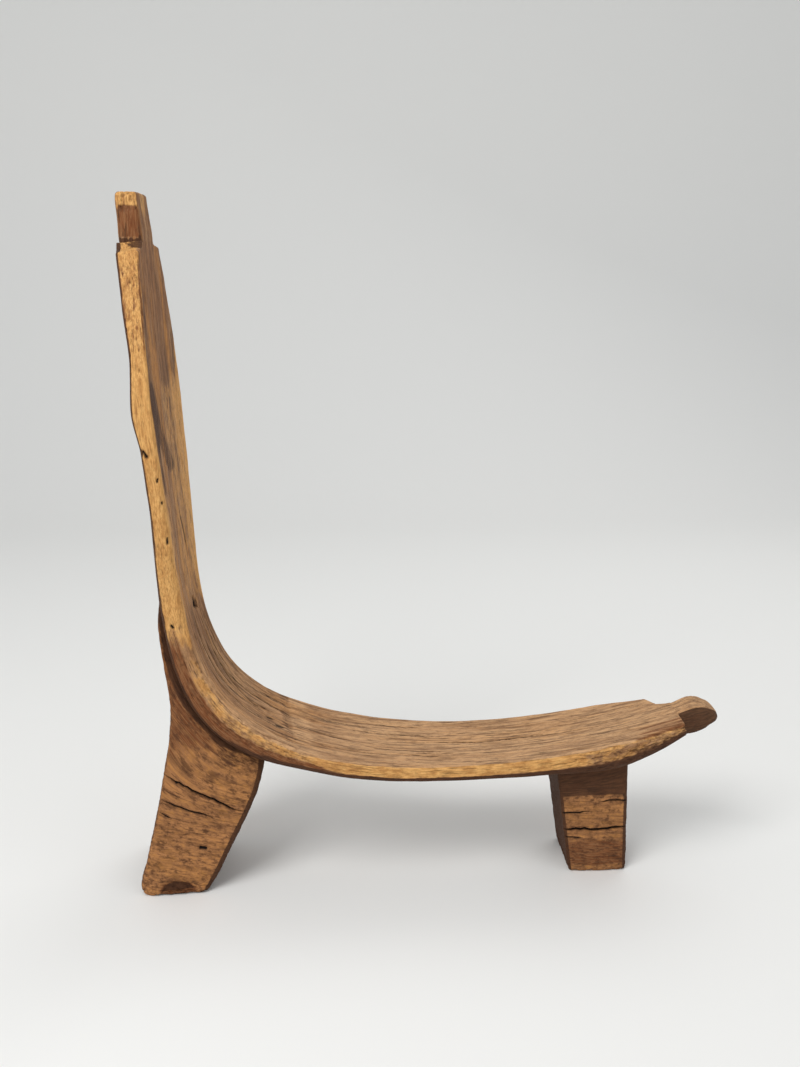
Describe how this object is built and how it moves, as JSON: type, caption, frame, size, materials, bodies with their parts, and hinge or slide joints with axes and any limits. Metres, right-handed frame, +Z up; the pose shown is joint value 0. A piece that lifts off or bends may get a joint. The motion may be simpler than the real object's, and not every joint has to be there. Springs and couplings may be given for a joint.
{
  "type": "carved birthing chair",
  "caption": "Low narrow chair carved from one bent trunk: tall back, curved seat, broad rear leg and smaller front leg.",
  "frame": {"origin": "on the ground under the middle of the chair's length and width", "axes": "+X from the back towards the toe of the seat, +Y across the chair, +Z up"},
  "size_m": [0.643, 0.184, 0.74],
  "materials": {
    "slab_wood": "aged tan hardwood, worn golden along the rims, dark in the grain",
    "leg_wood": "aged red-brown hardwood with drying cracks"
  },
  "bodies": {
    "root": {"head_tab": "slab_wood", "back_board": "slab_wood", "crook": "slab_wood", "seat_board": "slab_wood", "toe_tab": "slab_wood", "rear_leg": "leg_wood", "front_leg": "leg_wood"}
  },
  "joints": []
}
